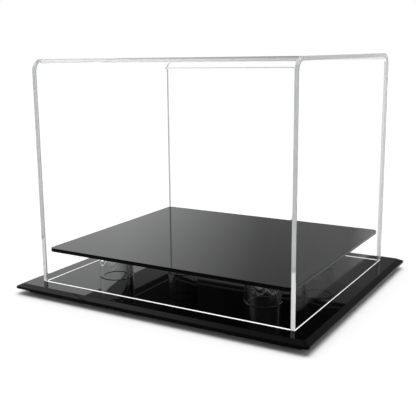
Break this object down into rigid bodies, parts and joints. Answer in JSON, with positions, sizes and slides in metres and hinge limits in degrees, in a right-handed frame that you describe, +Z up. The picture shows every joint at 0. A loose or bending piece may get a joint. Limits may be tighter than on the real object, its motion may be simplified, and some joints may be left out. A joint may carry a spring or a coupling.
{
  "type": "cap display case",
  "caption": "Clear rectangular display case: a lift-off acrylic cover over a black bevelled base with a raised inner platform that holds a cap.",
  "frame": {"origin": "on the resting surface, under the middle of the base", "axes": "+X along the long side, front face towards -Y, +Z up"},
  "size_m": [0.257, 0.226, 0.1905],
  "materials": {
    "clear_acrylic": "clear, flame-polished cast sheet",
    "clear_tube": "clear extruded tube with sawn and polished ends",
    "black_acrylic": "opaque black, mirror gloss, polished edges",
    "rubber_pad": "matte self-adhesive pad"
  },
  "bodies": {
    "base": {"base_plate": "black_acrylic", "base_plinth": "black_acrylic", "riser_platform": "black_acrylic", "riser_post_front_left": "clear_tube", "riser_post_front_right": "clear_tube", "riser_post_back_left": "clear_tube", "riser_post_back_right": "clear_tube", "foot_front_left": "rubber_pad", "foot_front_right": "rubber_pad", "foot_back_left": "rubber_pad", "foot_back_right": "rubber_pad"},
    "cover": {"cover_wrap": "clear_acrylic", "cover_left_panel": "clear_acrylic", "cover_right_panel": "clear_acrylic"}
  },
  "joints": [
    {"name": "cover_lift", "type": "slide", "parent": "base", "child": "cover", "axis": [0, 0, 1], "range_m": [0, 0.16]}
  ]
}
